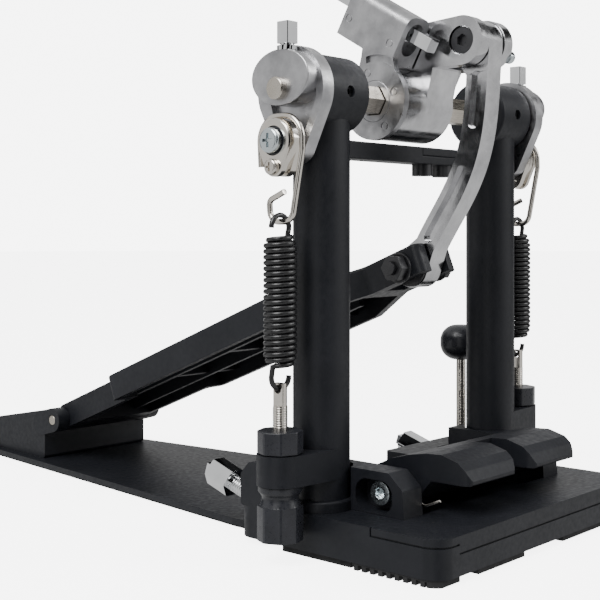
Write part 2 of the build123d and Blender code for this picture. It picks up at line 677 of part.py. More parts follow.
def link_strip(first, last, width):
    """Part of the link's curved web, from one share of its length to another."""
    path = Spline(*[(y, z) for y, z in LINK_CENTRE])
    steps = 7
    left, right = [], []
    for i in range(steps):
        t = first + (last - first) * i / (steps - 1)
        place, along = path @ t, path % t
        across = Vector(-along.Y, along.X, 0) * (width / 2)
        left.append(place + across)
        right.append(place - across)
    return make_face([Spline(*left), Line(left[-1], right[-1]), Spline(*right), Line(right[0], left[0])])


def link_arm():
    upper, lower = (CRANK_Y, CRANK_Z), (TREAD_Y, TREAD_Z)
    half = LINK_W / 2
    web = slab_x(link_strip(0, 1, LINK_SECTION), -half, half)
    head = slab_x(lobe(upper, LINK_EYE_R, LINK_CENTRE[0], LINK_SECTION / 2), -half, half)
    foot = slab_x(lobe(lower, LINK_EYE_R - 1, LINK_CENTRE[-1], LINK_SECTION / 2), -half, half)
    arm = web + head + foot
    for first, last in ((0.0, 0.30), (0.50, 0.97)):
        pocket = link_strip(first, last, POCKET_WIDTH)
        pocket = fillet(pocket.vertices(), POCKET_WIDTH * 0.45)
        for x0, x1 in ((half - 2.4, half + 1), (-half - 1, -half + 2.4)):
            arm -= slab_x(pocket, x0, x1)
    arm -= rod_x(PIVOT_R + 2.5, -half - 1, half + 1, *upper)
    return arm - rod_x(AXLE_R + LOST + GAP, -half - 1, half + 1, TREAD_Y + EYE_SHIFT_Y, TREAD_Z + EYE_SHIFT_Z)


def link_bush():
    half = LINK_W / 2 + WIDE_GAP / 2
    ring = rod_x(PIVOT_R + 2.5, -half, half, CRANK_Y, CRANK_Z)
    return ring - rod_x(PIVOT_R + RUN, -half - 1, half + 1, CRANK_Y, CRANK_Z)


# ---- beater holder and beater ----

def along_rod(u, n):
    """Point u along the beater rod's direction and n out from the shaft's axis, as (Y, Z)."""
    tilt = radians(ROD_TILT)
    return (-u * cos(tilt) + n * sin(tilt), SHAFT_Z + u * sin(tilt) + n * cos(tilt))


def beater_holder():
    """Clamp block round the rod's tail, and the side plate that turns on the shaft."""
    edge = HOLDER_OUT - HOLDER_PLATE
    low = DRUM_R + WIDE_GAP
    corners = [along_rod(HOLDER_LONG, low), along_rod(HOLDER_LONG, HOLDER_HIGH), along_rod(0, HOLDER_HIGH),
               along_rod(0, low)]
    body = slab_x(outline(corners), HOLDER_IN, HOLDER_OUT)
    top = [e for e in body.edges() if abs(e.length - HOLDER_LONG) < 0.01 and e.center().Z > SHAFT_Z + 40]
    body = fillet(top, 5.0)
    neck = outline([(13.0, SHAFT_Z + 9), (11.4, SHAFT_Z + 17), along_rod(0, low + 4), along_rod(20, low + 4),
                    (-7.6, SHAFT_Z + 21), (-9.6, SHAFT_Z + 14), (-12.0, SHAFT_Z + 9)])
    body += slab_x((Pos(0, SHAFT_Z) * Circle(DRUM_R + 0.4)) + neck, edge, HOLDER_OUT)
    body -= slab_x(curved_slot(), HOLDER_OUT - 1.6, HOLDER_OUT + 1)
    for y, z in round_marks():
        body -= rod_x(2.0, HOLDER_OUT - 0.3, HOLDER_OUT + 1, y, z) - rod_x(1.5, HOLDER_OUT - 1,
                                                                           HOLDER_OUT + 2, y, z)
    body -= rod_x(9.6, edge - 1, HOLDER_OUT + 1, 0, SHAFT_Z)
    body -= rod_at(BORE_START) * Pos(0, 0, 30) * Cylinder(BEATER_ROD_R + RUN, 60)
    bolt = rod_bolt_place()
    body -= bolt * Pos(0, 0, -KEY_SHANK / 2) * Cylinder(3.0, KEY_SHANK)
    return body - bolt * extrude(lobe((0, 0), 5.2, (0, 5.5), 5.0), amount=10)


def curved_slot():
    ring = (Pos(0, SHAFT_Z) * Circle(21.4)) - (Pos(0, SHAFT_Z) * Circle(18.2))
    return ring & (Pos(2.9, SHAFT_Z + 19.5) * Rectangle(15, 10))


def rod_bolt_place():
    """Seat of the key bolt that locks the rod, pointing down and forward."""
    return rod_at(KEY_SEAT) * Rot(180, 0, 0)


def hub_washer():
    """Steel washer with a hexagonal hole, let into the holder's side plate."""
    edge = HOLDER_OUT - HOLDER_PLATE
    return rod_x(9.6 - RUN, edge, HOLDER_OUT, 0, SHAFT_Z) - hex_cut(edge - 1, HOLDER_OUT + 1, GAP)


def rod_at(u):
    """Places something on the beater rod's axis, u along it; local +Z points up the rod."""
    return Pos(BEATER_X, *along_rod(u, ROD_OFFSET)) * Rot(90 - ROD_TILT, 0, 0)


def beater_rod():
    return rod_at(ROD_START + BEATER_ROD_LENGTH / 2) * Cylinder(BEATER_ROD_R, BEATER_ROD_LENGTH)


def beater_place():
    """Centre of the beater head on its rod; local +Z is the striking direction."""
    u = BEATER_ROD_LENGTH + ROD_START - CORE_R_BEATER + 4
    return Pos(BEATER_X, *along_rod(u, ROD_OFFSET)) * Rot(-ROD_TILT, 0, 0)


def beater_core():
    core = Pos(0, 0, -1) * Cylinder(CORE_R_BEATER, BEATER_CORE_L)
    core = fillet(core.edges(), 2.0)
    bore = Pos(0, 10, 0) * Rot(90, 0, 0) * Cylinder(BEATER_ROD_R + RUN, 20 + 2 * (CORE_R_BEATER - 4))
    screw = Pos(0, -4, -BEATER_CORE_L / 2) * Cylinder(2.0, BEATER_CORE_L - 8)
    return beater_place() * (core - bore - screw) + beater_pad(False)


def beater_pad(front):
    low, high = (BEATER_CORE_L / 2 - 1, BEATER_CORE_L / 2 + 17) if front else (-BEATER_CORE_L / 2 - 9,
                                                                              -BEATER_CORE_L / 2 - 1)
    radius = BEATER_R if front else BEATER_R - 3
    pad = Pos(0, 0, (low + high) / 2) * Cylinder(radius, high - low)
    edges = pad.edges().group_by(Axis.Z)
    pad = fillet(edges[-1] + edges[0], 3.0)
    return beater_place() * pad


# ---- footboard ----

def board_length():
    return hypot(TREAD_Y - HEEL_Y, TREAD_Z - HEEL_Z)


def board_place():
    tilt = degrees(atan2(TREAD_Z - HEEL_Z, TREAD_Y - HEEL_Y))
    return Pos(0, HEEL_Y, HEEL_Z) * Rot(tilt, 0, 0)


def board_plan(shrink=0.0):
    tip = board_length() + AXLE_R + 9.0
    rear, wide, tail = TIP_HALF, BOARD_HALF, TONGUE_HALF
    right = [(tail, 0), (tail, WIDE_FROM), (wide, WIDE_FROM), (wide, TAPER_FROM), (rear, TAPER_TO),
             (rear, tip)]
    points = right + [(-x, y) for x, y in reversed(right)]
    face = make_face(Polyline(*points, close=True))
    return offset(face, amount=-shrink, kind=Kind.INTERSECTION) if shrink else face


def footboard():
    low, length = BOARD_TOP - BOARD_SIDE_H, board_length()
    body = Pos(0, 0, low) * extrude(board_plan(), amount=BOARD_SIDE_H)
    upright = [e for e in body.edges().filter_by(Axis.Z) if e.center().Y > WIDE_FROM - 1]
    body = fillet(upright, 4.0)
    body = fillet(body.faces().sort_by(Axis.Z)[-1].edges(), 1.4)
    hollow = Pos(0, 0, low - 1) * extrude(board_plan(BOARD_T), amount=BOARD_SIDE_H - BOARD_T + 1)
    body -= hollow & block(-BOARD_HALF, BOARD_HALF, 12.0, TAPER_TO - 6, low - 2, BOARD_TOP)
    for x in (-16.0, 16.0):
        body += block(x - 1.5, x + 1.5, 10.0, TAPER_FROM + 10, low + 3.5, BOARD_TOP - 1)
    for y in (WIDE_FROM + 20, (WIDE_FROM + TAPER_FROM) / 2, TAPER_FROM - 14):
        body += block(-BOARD_HALF + 2, BOARD_HALF - 2, y - 1.5, y + 1.5, low + 5.0, BOARD_TOP - 1)
    body += rod_x(HINGE_R + 4, -TONGUE_HALF, TONGUE_HALF)
    body -= rod_x(HINGE_R + RUN, -TONGUE_HALF - 1, TONGUE_HALF + 1)
    body -= block(-SLOT_HALF, SLOT_HALF, TAPER_TO + 4, length + 30, low - 1, BOARD_TOP + 1)
    body -= rod_x(AXLE_R, -TIP_HALF - 1, TIP_HALF + 1, length)
    for x in (-28, -14, 0, 14, 28):
        last = TAPER_FROM - abs(x) * 0.5
        groove = SlotOverall(last - WIDE_FROM - 16, 4.0, rotation=90)
        body -= Pos(x, (last + WIDE_FROM) / 2, BOARD_TOP - 1.0) * extrude(groove, amount=2.0)
    return board_place() * body


def tread_axle():
    half = TIP_HALF + 8.5
    return rod_x(AXLE_R, -half, half, TREAD_Y, TREAD_Z)


def axle_nuts():
    nuts = []
    for side in (1, -1):
        low, high = sorted((side * (TIP_HALF + 1.5), side * (TIP_HALF + 6.5)))
        nut = Plane.YZ.offset(low) * Pos(TREAD_Y, TREAD_Z) * RegularPolygon(6.4, 6)
        nuts.append(extrude(nut, amount=high - low) - rod_x(AXLE_R, low - 1, high + 1, TREAD_Y, TREAD_Z))
    return nuts


def axle_washers():
    washers = []
    for side in (1, -1):
        for near, far, radius in ((TIP_HALF, TIP_HALF + 1.5, 7.2), (LINK_W / 2 + GAP, SLOT_HALF, 9.0)):
            low, high = sorted((side * near, side * far))
            ring = rod_x(radius, low, high, TREAD_Y, TREAD_Z)
            washers.append(ring - rod_x(AXLE_R, low - 1, high + 1, TREAD_Y, TREAD_Z))
    return washers


# ---- heel ----

def heel_plate():
    half = TONGUE_HALF + 8
    low = PLATE_RUBBER + PLATE_T
    front = HEEL_Y - HINGE_R - 4 - WIDE_GAP
    profile = [(HEEL_REAR + 2, low), (HEEL_REAR + 2, 12.0), (HEEL_REAR + 10, 20.0), (front - 6, HEEL_Z + 4),
               (front, HEEL_Z + 1), (front, low)]
    body = slab_x(outline(profile, 2.0), -half, half)
    body = body & (Pos(0, 0, low) * extrude(heel_plan(half), amount=60))
    shell = body
    hollow = [(HEEL_REAR + 12, low - 3), (HEEL_REAR + 12, 15.0), (front - 6, HEEL_Z - 2),
              (front - 6, low - 3)]
    body -= slab_x(outline(hollow), -half + 5, half - 5)
    for x, y in heel_screw_places():
        body += rod_z(5.0, low, HEEL_Z, x, y) & shell
        body -= rod_z(2.1, low - 1, low + 9, x, y)
    for side in (1, -1):
        near, far = sorted((side * (TONGUE_HALF + GAP), side * half))
        body += slab_x(lobe((HEEL_Y, HEEL_Z), HINGE_R + 4, (front - 4, HEEL_Z - 3), HINGE_R + 4), near, far)
    return body - rod_x(HINGE_R, -half - 1, half + 1, HEEL_Y, HEEL_Z)


def heel_plan(half):
    plan = Polyline((-half, HEEL_Y), (half, HEEL_Y), (half - 6, HEEL_REAR + 2), (-half + 6, HEEL_REAR + 2),
                    close=True)
    face = make_face(plan)
    return fillet(face.vertices().group_by(Axis.Y)[0], 8.0)


def hinge_pin():
    half = TONGUE_HALF + 8
    return chamfer(rod_x(HINGE_R, -half, half, HEEL_Y, HEEL_Z).edges(), 0.4)


# ---- hoop clamp ----

def hoop_jaw():
    """Hooded jaw with two noses over the hoop, and a low tail that the clamp screw lifts."""
    half = JAW_HALF
    profile = [(-10.0, 22.5), (-10.0, 28.0), (9.5, 34.3), (20.9, 39.5), (30.2, 42.2), (40.0, 44.0),
               (48.2, 44.4),
               (56.8, 42.0), (60.4, 38.9), (JAW_TIP_Y, 34.5), (JAW_TIP_Y, THROAT_TOP), (43.0, THROAT_TOP),
               (36.0, 24.5), (30.0, 21.0), (16.0, 21.0)]
    body = slab_x(outline(profile, 0.9), -half, half)
    nose = (half - JAW_NOTCH) / 2
    plan = Pos(0, -12.0 + 26) * Rectangle(2 * half, 52)
    for side in (1, -1):
        plan += Pos(side * (half + JAW_NOTCH) / 2, 44.0) * RectangleRounded(2 * nose,
                                                                            2 * (JAW_TIP_Y + 0.5 - 44.0), 5.0)
    body = body & extrude(plan, amount=60)
    for x in (-34.0, -17.0, 17.0, 34.0):
        body -= block(x - 5, x + 5, 45.0, JAW_TIP_Y - 4, THROAT_TOP - 1, THROAT_TOP + 3.0)
    tail = block(CLAMP_X - 7, -20.0, CLAMP_Y - 7, CLAMP_Y + 7, TAIL_Z, TAIL_Z + TAIL_T)
    tail += block(-half, -20.0, CLAMP_Y - 7, 4.0, TAIL_Z, TAIL_Z + TAIL_T)
    body += fillet(tail.edges().filter_by(Axis.Z), 2.5)
    body += rod_z(6.5, TAIL_Z, TAIL_Z + TAIL_T + 4, CLAMP_X, CLAMP_Y)
    body -= rod_z(CLAMP_R + RUN, TAIL_Z - 1, TAIL_Z + TAIL_T + 5, CLAMP_X, CLAMP_Y)
    return body - rod_x(HINGE_R + RUN, -half - 1, half + 1, JAW_Y, JAW_Z)


def jaw_pin():
    """Bolt through both cheeks that the jaw turns on, with a head in each pocket."""
    seat = CHEEK_OUT - POCKET_DEEP
    pin = rod_x(HINGE_R, -seat, seat, JAW_Y, JAW_Z)
    for side in (1, -1):
        head = Pos(side * seat, JAW_Y, JAW_Z) * Rot(0, side * 90, 0) * socket_bolt(HINGE_R, 2.0, 5.2, 4.6)
        pin += head
    return pin


def jaw_spring():
    """Torsion spring on the jaw's bolt, as the sleeve that its turns fill, with one leg."""
    low, high = JAW_HALF + 0.6, CHEEK_IN - 0.6
    sleeve = rod_x(5.4, low, high, JAW_Y, JAW_Z) - rod_x(3.9, low - 1, high + 1, JAW_Y, JAW_Z)
    x = high - 0.7
    leg = wire_loop([(x, JAW_Y + 4.6, JAW_Z), (x, JAW_Y + 16, 22.5), (x, JAW_Y + 24, 26.0)], [3.0], 0.6)
    return sleeve + leg


def clamp_screw():
    screw = rod_z(CLAMP_R, BASE_TOP + 2 * GAP, CLAMP_KNOB_Z + 2, CLAMP_X, CLAMP_Y)
    return chamfer(screw.edges().group_by(Axis.Z)[0], 0.8)


def clamp_knob():
    knob = fillet(rod_z(KNOB_R, CLAMP_KNOB_Z - KNOB_HALF, CLAMP_KNOB_Z + KNOB_HALF).edges(), KNOB_HALF - 1)
    knob -= rod_z(CLAMP_R, CLAMP_KNOB_Z - 10, CLAMP_KNOB_Z + 2)
    return Pos(CLAMP_X, CLAMP_Y, 0) * knob


# ---- spurs and base screws ----

def spur(side):
    cone = Pos(0, 0, 2.5) * Cone(0.8, SPUR_R, 5.0)
    thread = Pos(0, 0, 5 + (SPUR_NECK - 5) / 2) * Cylinder(SPUR_R, SPUR_NECK - 5)
    grip = Pos(0, 0, SPUR_NECK) * extrude(RegularPolygon(7.2, 6), amount=13.0)
    grip = grip & (Pos(0, 0, SPUR_NECK + 6.5) * Cylinder(6.9, 13))
    top = Pos(0, 0, SPUR_NECK + 15) * Box(5.0, 5.0, 4.4)
    return spur_axis(side) * (cone + thread + grip + top)


def post_bolt(side):
    head = rod_z(6.2, 2.4, RUBBER + 5, side * POST_X, 0)
    return head + rod_z(4.0, RUBBER + 5, BASE_TOP + 20, side * POST_X, 0)


# ---- build every node ----

def build():
    put("toe_block", toe_block())
    put("toe_rubber", *toe_rubber())
    put("base_plate", base_plate())
    put("plate_rubber", plate_rubber())
    put("plate_screws", *[flat_screw(x, y, 9.0) for x, y in plate_screw_places() + heel_screw_places()])
    put("heel_plate", heel_plate())
    put("heel_hinge_pin", hinge_pin())
    put("post_right", post_with_bridge(1))
    put("post_left", post_with_bridge(-1))
    put("bridge_bolts", *bridge_bolts())
    put("base_bolts", post_bolt(1), post_bolt(-1))
    put("bearing_outer_rings", outer_ring(), mirrored(outer_ring()))
    put("bearing_balls", *bearing_balls(), *[mirrored(ball) for ball in bearing_balls()])
    put("bearing_inner_rings", inner_ring(), mirrored(inner_ring()))
    put("housing_set_screws", grub_screw(), mirrored(grub_screw()))
    put("jaw_hinge_pin", jaw_pin())
    put("jaw_spring", jaw_spring())
    put("hoop_jaw", hoop_jaw())
    put("clamp_screw", clamp_screw())
    put("clamp_knob", clamp_knob())
    put("rocker_shaft", hex_shaft())
    put("crank", crank())
    put("crank_pivot_bolt", pivot_bolt())
    put("crank_side_screw", cheek_screw())
    put("cam_key_bolts", cam_bolt(), mirrored(cam_bolt()))
    put("cam_pivot_screws", cam_pin(), mirrored(cam_pin()))
    put("hub_washer", hub_washer())
    put("beater_holder", beater_holder())
    put("rod_key_bolt", rod_bolt_place() * key_bolt(3.0, KEY_SHANK, 14.0))
    put("beater_rod", beater_rod())
    put("beater_core", beater_core())
    put("beater_felt", beater_pad(True))
    put("link_arm", link_arm())
    put("link_bush", link_bush())
    put("footboard", footboard())
    put("link_axle", tread_axle())
    put("axle_nuts", *axle_nuts(), *axle_washers())
    sided = {"tension_rod": tension_rod, "lock_nut": lock_nut, "tension_knob": tension_knob,
             "spring": coil_body, "spring_hook": upper_hook, "cam": cam, "yoke_block": yoke_block,
             "yoke_bush": yoke_bush, "yoke_screw": yoke_screw, "yoke_wire": yoke_wire}
    for name, make in sided.items():
        solid = make()
        put(name + "_right", solid)
        put(name + "_left", mirrored(solid))
    put("spur_right", spur(1))
    put("spur_left", spur(-1))


build()
os.makedirs("parts", exist_ok=True)
for name, shape in PARTS.items():
    export_step(shape, f"parts/{name}.step")
print(len(PARTS), "nodes")
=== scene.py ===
"""Looks for the bass drum pedal: materials, detail pieces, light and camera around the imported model."""

import bpy, bmesh, json
from math import cos, pi, radians, sin
from mathutils import Matrix, Vector


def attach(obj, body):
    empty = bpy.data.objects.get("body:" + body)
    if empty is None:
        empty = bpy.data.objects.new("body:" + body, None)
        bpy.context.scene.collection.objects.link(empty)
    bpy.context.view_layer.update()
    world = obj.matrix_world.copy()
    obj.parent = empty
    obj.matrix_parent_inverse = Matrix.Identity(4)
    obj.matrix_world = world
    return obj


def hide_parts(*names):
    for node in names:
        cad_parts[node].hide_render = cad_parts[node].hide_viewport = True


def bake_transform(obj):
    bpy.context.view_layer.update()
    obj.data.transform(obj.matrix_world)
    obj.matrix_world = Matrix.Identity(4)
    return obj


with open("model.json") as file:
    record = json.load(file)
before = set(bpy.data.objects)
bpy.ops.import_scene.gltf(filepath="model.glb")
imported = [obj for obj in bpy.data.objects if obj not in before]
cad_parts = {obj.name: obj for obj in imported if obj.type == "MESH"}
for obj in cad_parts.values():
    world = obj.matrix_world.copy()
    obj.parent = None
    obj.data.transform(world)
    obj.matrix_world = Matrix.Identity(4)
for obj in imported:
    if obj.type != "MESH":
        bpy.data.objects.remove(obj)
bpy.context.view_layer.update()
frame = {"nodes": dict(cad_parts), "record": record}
NODES = frame["nodes"]
MM = 0.001
SIDES = (("right", 1), ("left", -1))

# ---- camera: level, on the drum's side, looking back at the right-hand post ----
CAMERA_AT = (0.445, 0.339, 0.139)
CAMERA_TURN = 131.0
CAMERA_LENS = 69.9
CAMERA_SHIFT = (-0.0633, -0.1138)


def make_camera():
    data = bpy.data.cameras.new("camera")
    data.lens = CAMERA_LENS
    data.sensor_width = 36.0
    data.shift_x, data.shift_y = CAMERA_SHIFT
    data.clip_start = 0.01
    data.clip_end = 20.0
    camera = bpy.data.objects.new("camera", data)
    camera.location = CAMERA_AT
    camera.rotation_euler = (radians(90), 0, radians(CAMERA_TURN))
    bpy.context.scene.collection.objects.link(camera)
    bpy.context.scene.camera = camera


# ---- material building ----

class Shader:
    """A node material with short ways to add noise, ramps and bump in object coordinates."""

    def __init__(self, name, color, rough, metal=0.0, **sockets):
        self.material = bpy.data.materials.new(name)
        self.material.use_nodes = True
        self.tree = self.material.node_tree
        self.bsdf = self.tree.nodes["Principled BSDF"]
        self.coords = self.tree.nodes.new("ShaderNodeTexCoord").outputs["Object"]
        self.set("Base Color", (*color, 1.0))
        self.set("Roughness", rough)
        self.set("Metallic", metal)
        for socket, value in sockets.items():
            self.set(socket.replace("_", " "), value)
        self.height = None

    def set(self, socket, value):
        self.bsdf.inputs[socket].default_value = value

    def link(self, output, target):
        self.tree.links.new(output, target)

    def stretch(self, scale):
        """Object coordinates scaled differently along X, Y and Z."""
        mapping = self.tree.nodes.new("ShaderNodeMapping")
        mapping.inputs["Scale"].default_value = scale
        self.link(self.coords, mapping.inputs["Vector"])
        return mapping.outputs["Vector"]

    def noise(self, scale, detail=3.0, rough=0.5, vector=None):
        node = self.tree.nodes.new("ShaderNodeTexNoise")
        node.inputs["Scale"].default_value = scale
        node.inputs["Detail"].default_value = detail
        node.inputs["Roughness"].default_value = rough
        self.link(vector or self.coords, node.inputs["Vector"])
        return node.outputs["Fac"]

    def ramp(self, source, low, high, start=0.3, end=0.7):
        """Maps a value onto low..high, as a number."""
        node = self.tree.nodes.new("ShaderNodeMapRange")
        node.inputs["From Min"].default_value = start
        node.inputs["From Max"].default_value = end
        node.inputs["To Min"].default_value = low
        node.inputs["To Max"].default_value = high
        self.link(source, node.inputs["Value"])
        return node.outputs["Result"]

    def tint(self, source, dark, light, start=0.3, end=0.7):
        """Colours the surface between two colours by a value."""
        node = self.tree.nodes.new("ShaderNodeMix")
        node.data_type = "RGBA"
        node.inputs["A"].default_value = (*dark, 1.0)
        node.inputs["B"].default_value = (*light, 1.0)
        self.link(self.ramp(source, 0.0, 1.0, start, end), node.inputs["Factor"])
        self.link(node.outputs["Result"], self.bsdf.inputs["Base Color"])
        return self

    def vary_rough(self, source, low, high, start=0.3, end=0.7):
        self.link(self.ramp(source, low, high, start, end), self.bsdf.inputs["Roughness"])
        return self

    def bump(self, source, distance, strength=1.0):
        node = self.tree.nodes.new("ShaderNodeBump")
        node.inputs["Distance"].default_value = distance
        node.inputs["Strength"].default_value = strength
        self.link(source, node.inputs["Height"])
        if self.height is not None:
            self.link(self.height, node.inputs["Normal"])
        self.height = node.outputs["Normal"]
        self.link(self.height, self.bsdf.inputs["Normal"])
        return self


def powder_coat():
    """Fine-grained black powder coat over castings."""
    s = Shader("black_coat", (0.009, 0.010, 0.013), 0.46, Specular_IOR_Level=0.34)
    s.tint(s.noise(55, 3), (0.007, 0.008, 0.011), (0.012, 0.013, 0.017))
    s.vary_rough(s.noise(420, 3), 0.38, 0.54)
    return s.bump(s.noise(2600, 2), 0.00006, 0.55).bump(s.noise(700, 2), 0.00005, 0.35).material


def cast_alloy():
    """Tumbled die casting: satin, with shallow flow marks."""
    s = Shader("cast_alloy", (0.66, 0.66, 0.67), 0.34, 1.0)
    s.tint(s.noise(70, 5, 0.6), (0.32, 0.32, 0.33), (0.56, 0.56, 0.57), 0.32, 0.66)
    s.vary_rough(s.noise(300, 4), 0.26, 0.44)
    return s.bump(s.noise(900, 3), 0.00005, 0.5).bump(s.noise(160, 3), 0.00012, 0.45).material


def polished_alloy():
    """Hand-polished casting: bright, softly waved, with fine scratches."""
    s = Shader("polished_alloy", (0.80, 0.80, 0.81), 0.16, 1.0)
    s.tint(s.noise(45, 5, 0.6), (0.42, 0.42, 0.43), (0.68, 0.68, 0.69), 0.3, 0.68)
    s.vary_rough(s.noise(220, 4), 0.12, 0.26)
    fine = s.noise(1500, 2, 0.5, s.stretch((1, 1, 0.08)))
    return s.bump(fine, 0.00002, 0.35).bump(s.noise(85, 2), 0.0002, 0.45).material


def plated(name, color, rough, wave=0.3):
    s = Shader(name, color, rough, 1.0)
    dull = tuple(c * 0.86 for c in color)
    s.tint(s.noise(90, 3), dull, color)
    s.vary_rough(s.noise(500, 3), rough * 0.8, rough * 1.5)
    return s.bump(s.noise(240, 2), 0.00006, wave).material


def ground_steel():
    s = Shader("bearing_steel", (0.50, 0.46, 0.40), 0.24, 1.0)
    s.tint(s.noise(60, 4), (0.42, 0.38, 0.32), (0.60, 0.56, 0.50))
    streaks = s.noise(2400, 2, 0.5, s.stretch((0.04, 1, 1)))
    s.vary_rough(streaks, 0.18, 0.32)
    return s.bump(streaks, 0.00002, 0.4).material


def black_oxide():
    s = Shader("black_bolt", (0.016, 0.016, 0.018), 0.33, Specular_IOR_Level=0.6)
    s.tint(s.noise(120, 3), (0.010, 0.010, 0.012), (0.028, 0.028, 0.031))
    s.vary_rough(s.noise(600, 3), 0.26, 0.42)
    return s.bump(s.noise(1600, 2), 0.00003, 0.4).material


def black_lacquer():
    s = Shader("spring_black", (0.010, 0.010, 0.011), 0.30, Specular_IOR_Level=0.6)
    s.vary_rough(s.noise(800, 3), 0.24, 0.40)
    return s.bump(s.noise(1800, 2), 0.00003, 0.4).material


def moulded_nylon():
    s = Shader("black_nylon", (0.018, 0.019, 0.024), 0.30, Specular_IOR_Level=0.5)
    s.tint(s.noise(80, 2), (0.015, 0.016, 0.020), (0.024, 0.025, 0.031))
    s.vary_rough(s.noise(700, 3), 0.24, 0.38)
    return s.bump(s.noise(1500, 2), 0.00002, 0.4).material


def moulded_rubber():
    s = Shader("rubber", (0.020, 0.020, 0.021), 0.75, Specular_IOR_Level=0.35)
    s.tint(s.noise(60, 4), (0.014, 0.014, 0.015), (0.030, 0.030, 0.031))
    s.vary_rough(s.noise(300, 3), 0.66, 0.86)
    return s.bump(s.noise(900, 3), 0.0001, 0.5).material


def sintered_bronze():
    s = Shader("bronze", (0.52, 0.36, 0.17), 0.36, 1.0)
    s.tint(s.noise(400, 4), (0.40, 0.26, 0.11), (0.60, 0.43, 0.22))
    return s.bump(s.noise(2000, 3), 0.00003, 0.6).material


def pressed_felt():
    s = Shader("felt", (0.82, 0.79, 0.72), 0.95, Specular_IOR_Level=0.15, Sheen_Weight=0.35)
    s.tint(s.noise(260, 6, 0.7), (0.70, 0.67, 0.60), (0.88, 0.86, 0.80))
    fibres = s.noise(1300, 5, 0.75, s.stretch((1, 0.5, 1)))
    return s.bump(fibres, 0.0004, 0.9).bump(s.noise(160, 3), 0.0005, 0.4).material


MATERIALS = {
    "black_coat": powder_coat(), "cast_alloy": cast_alloy(), "polished_alloy": polished_alloy(),
    "chrome": plated("chrome", (0.86, 0.87, 0.88), 0.06), "nickel": plated("nickel", (0.76, 0.72, 0.66), 0.14),
    "zinc_bolt": plated("zinc_bolt", (0.66, 0.72, 0.74), 0.20), "bearing_steel": ground_steel(),
    "black_bolt": black_oxide(), "spring_black": black_lacquer(), "black_nylon": moulded_nylon(),
    "rubber": moulded_rubber(), "bronze": sintered_bronze(), "felt": pressed_felt(),
}

# ---- carried-over CAD nodes: material, softened edges ----
EDGE = {"black_coat": 0.5, "cast_alloy": 0.35, "polished_alloy": 0.5, "rubber": 0.25, "black_nylon": 0.4}
SLOTS = {row["node"]: row["material_slot"] for row in frame["record"]["subparts"]}


def soften(piece, width):
    """Welds the mesh and rounds its sharp edges, so that they catch the light."""
    weld = piece.modifiers.new("weld", "WELD")
    weld.merge_threshold = 0.000002
    bevel = piece.modifiers.new("bevel", "BEVEL")
    bevel.width = width * MM
    bevel.segments = 2
    bevel.limit_method = "ANGLE"
    bevel.angle_limit = radians(38)
    bevel.harden_normals = False
    smooth = piece.modifiers.new("normals", "WEIGHTED_NORMAL")
    smooth.keep_sharp = True


def dress(piece, slot):
    piece.data.materials.clear()
    piece.data.materials.append(MATERIALS[slot])


def dress_nodes():
    for name, node in NODES.items():
        slot = SLOTS[name]
        dress(node, slot)
        node.data.shade_smooth()
        soften(node, EDGE.get(slot, 0.25))


# ---- wound springs and threads ----

def swept(name, points, radius, slot, sides=8):
    """Round wire along a line of points, with flat ends, as a mesh."""
    mesh = bmesh.new()
    rings = []
    side = Vector((0, 0, 1))
    for i, at in enumerate(points):
        ahead = (points[min(i + 1, len(points) - 1)] - points[max(i - 1, 0)]).normalized()
        side = side - ahead * side.dot(ahead)
        if side.length < 1e-6:
            side = ahead.orthogonal()
        side.normalize()
        other = ahead.cross(side)
        turns = [2 * pi * k / sides for k in range(sides)]
        rings.append([mesh.verts.new(at + (side * cos(t) + other * sin(t)) * radius) for t in turns])
    for low, high in zip(rings, rings[1:]):
        for k in range(sides):
            mesh.faces.new((low[k], low[(k + 1) % sides], high[(k + 1) % sides], high[k]))
    mesh.faces.new(rings[0][::-1])
    mesh.faces.new(rings[-1])
    bmesh.ops.recalc_face_normals(mesh, faces=mesh.faces)
    data = bpy.data.meshes.new(name)
    mesh.to_mesh(data)
    mesh.free()
    data.shade_smooth()
    piece = bpy.data.objects.new(name, data)
    bpy.context.scene.collection.objects.link(piece)
    dress(piece, slot)
    return piece


def helix(radius, low, high, turns, steps=26):
    """Points round local +Z from one height to another."""
    count = int(turns * steps)
    points = []
    for i in range(count + 1):
        angle = 2 * pi * i / steps
        points.append(Vector((radius * cos(angle), radius * sin(angle), low + (high - low) * i / count)))
    return points


# in millimetres, as in the CAD
SPRING_X = 92.0
SPRING_MEAN = 6.1
SPRING_LOW, SPRING_HIGH = 83.0, 137.0
SPRING_TURNS = 22.5
END_SHRINK = 0.72
END_TAPER = 4.0
EYE_Z = 73.0
CURL_Z = 146.0
WIRE_R = 1.15
HOOK_R = SPRING_MEAN - 0.8
HOOK_STEPS = 14


def end_scale(z):
    """How far a spring's first and last turns draw in."""
    inside = min(z - SPRING_LOW, SPRING_HIGH - z) / END_TAPER
    return END_SHRINK + (1.0 - END_SHRINK) * min(max(inside, 0.0), 1.0)


def spring_line():
    """A wound spring's line about local +Z: lower hook, body with narrower ends, and upper hook."""
    angles = [pi * i / HOOK_STEPS for i in range(HOOK_STEPS + 1)]
    bottom = [Vector((HOOK_R * cos(a), 0, EYE_Z + HOOK_R - HOOK_R * sin(a))) for a in reversed(angles)]
    body = []
    for point in helix(1.0, SPRING_LOW, SPRING_HIGH, SPRING_TURNS):
        radius = SPRING_MEAN * end_scale(point.z)
        body.append(Vector((point.x * radius, point.y * radius, point.z)))
    top = [Vector((HOOK_R * cos(a), 0, CURL_Z - HOOK_R + HOOK_R * sin(a))) for a in reversed(angles)]
    return bottom + body + top


